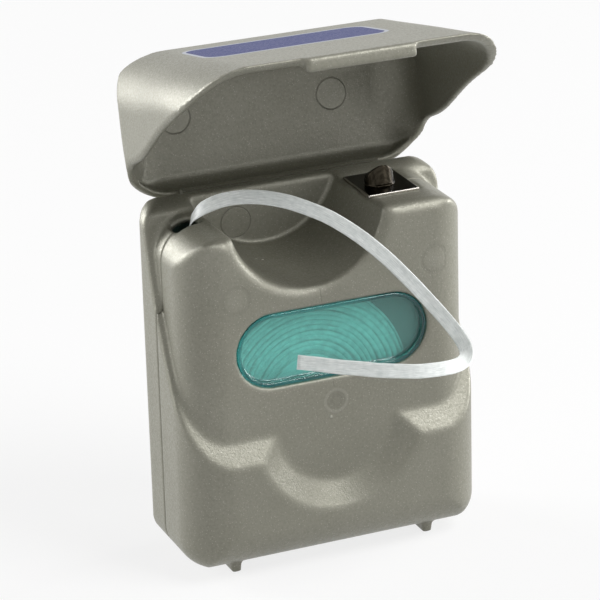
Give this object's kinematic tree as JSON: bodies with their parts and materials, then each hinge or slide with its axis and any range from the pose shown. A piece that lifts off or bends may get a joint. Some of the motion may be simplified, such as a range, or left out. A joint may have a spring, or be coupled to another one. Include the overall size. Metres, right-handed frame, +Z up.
{
  "type": "dental floss dispenser",
  "caption": "Pocket dental floss case with a hinged hood lid, a tinted window on the wound floss, a steel cutter and a length of tape pulled out.",
  "frame": {"origin": "middle of the case's flat underside, halfway between its front and back faces", "axes": "+X to the right seen from the front, +Y to the back, +Z up"},
  "size_m": [0.0494, 0.047, 0.0838],
  "materials": {
    "case": "pearl grey, fine grain",
    "lid": "pearl grey, fine grain",
    "lens": "clear teal",
    "steel": "bright, dark in reflection",
    "hub": "plain",
    "floss": "waxed tape, wound",
    "tape": "satin waxed tape"
  },
  "bodies": {
    "case": {"front_shell": "case", "back_shell": "case", "hinge_strip": "case", "window_lens": "lens", "cutter_plate": "steel", "floss_feed": "tape", "floss_tail": "tape"},
    "lid": {"lid": "lid"},
    "bobbin": {"spool_hub": "hub", "floss_pack": "floss", "floss_winding": "floss"}
  },
  "joints": [
    {"name": "lid_hinge", "type": "hinge", "parent": "case", "child": "lid", "pos_m": [0, 0.0114, 0.05395], "axis": [-1, 0, 0], "range_deg": [-101, 35], "deforming": ["floss_tail"]},
    {"name": "spool_spin", "type": "hinge", "parent": "case", "child": "bobbin", "pos_m": [-0.003, 0, 0.025], "axis": [0, 1, 0], "continuous": true}
  ]
}
